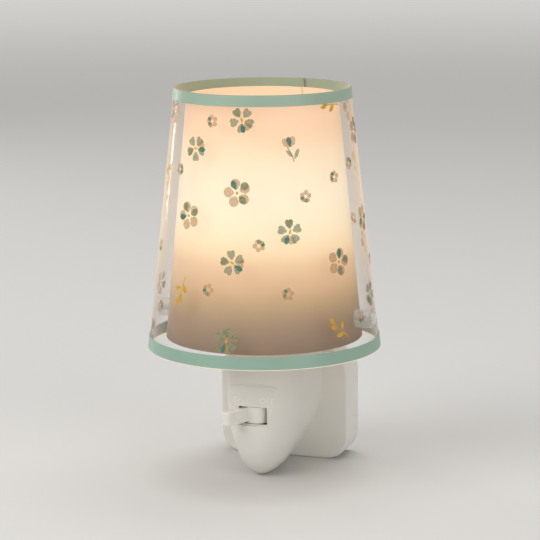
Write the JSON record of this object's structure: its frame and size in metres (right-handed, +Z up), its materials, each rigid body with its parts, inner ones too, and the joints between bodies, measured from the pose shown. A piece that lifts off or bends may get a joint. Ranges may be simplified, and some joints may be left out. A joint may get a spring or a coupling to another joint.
{
  "type": "plug-in night light",
  "caption": "Plug-in night light: a conical double film shade over a small screw-cap bulb, a boat-shaped housing with a sideways lever switch, and a flat round-pin plug behind.",
  "frame": {"origin": "on the surface that the light stands on, below the axis of its shade", "axes": "+Z up along the axis of the shade, +Y towards the plug, -Y towards the switch, +X to the right of a person who faces the switch"},
  "size_m": [0.12, 0.1477, 0.2015],
  "materials": {
    "housing_plastic": "satin, lightly moulded grain",
    "cover_plastic": "satin",
    "lever_plastic": "gloss",
    "lettering": "raised, same plastic as the housing",
    "cradle_plastic": "matt",
    "holder_plastic": "matt, heat resistant",
    "core_ceramic": "unglazed",
    "steel": "zinc plated",
    "brass": "plain",
    "pin_plating": "nickel plated",
    "collar_plastic": "matt",
    "cap_metal": "bright, threaded",
    "solder": "dull",
    "cap_insulator": "black glass",
    "bulb_frosting": "frosted",
    "stem_glass": "clear",
    "filament_wire": "fine wire",
    "clear_film": "clear, glossy film",
    "diffuser_film": "translucent, matt",
    "band_sage": "satin",
    "clear_plastic": "clear",
    "bridge_plastic": "satin",
    "lead_brown": "satin",
    "lead_blue": "satin",
    "lead_black": "satin",
    "print_sage": "printed ink",
    "print_teal": "printed ink",
    "print_taupe": "printed ink",
    "print_mustard": "printed ink"
  },
  "bodies": {
    "base": {"front_housing": "housing_plastic", "rear_cover": "cover_plastic", "cover_screws": "steel", "plug_pins": "pin_plating", "pin_collars": "collar_plastic", "pin_terminals": "brass", "terminal_screws": "steel", "switch_cradle": "cradle_plastic", "cradle_screws": "steel", "lever_pin": "steel", "fixed_contacts": "brass", "detent_spring": "steel", "lead_live": "lead_brown", "lead_neutral": "lead_blue", "lead_switched": "lead_black", "holder_sleeve": "holder_plastic", "holder_nut": "holder_plastic", "holder_core": "core_ceramic", "holder_shell": "brass", "holder_contact": "brass", "holder_terminals": "brass"},
    "lever": {"switch_lever": "lever_plastic", "contact_bridge": "brass"},
    "bulb": {"bulb_tip": "solder", "bulb_insulator": "cap_insulator", "bulb_cap": "cap_metal", "bulb_glass": "bulb_frosting", "bulb_stem": "stem_glass", "bulb_filament": "filament_wire"},
    "shade": {"outer_shade": "clear_film", "inner_diffuser": "diffuser_film", "bottom_trim": "band_sage", "top_trim": "band_sage", "shade_spacers": "clear_plastic", "shade_rivets": "clear_plastic", "shade_bridge": "bridge_plastic"}
  },
  "joints": [
    {"name": "switch_throw", "type": "hinge", "parent": "base", "child": "lever", "pos_m": [0, -0.011, 0.0346], "axis": [0, 0, 1], "range_deg": [0, 60]},
    {"name": "shade_lift", "type": "slide", "parent": "base", "child": "shade", "axis": [0, 0, 1], "range_m": [0, 0.15]},
    {"name": "bulb_lift", "type": "slide", "parent": "base", "child": "bulb", "axis": [0, 0, 1], "range_m": [0, 0.1]}
  ]
}
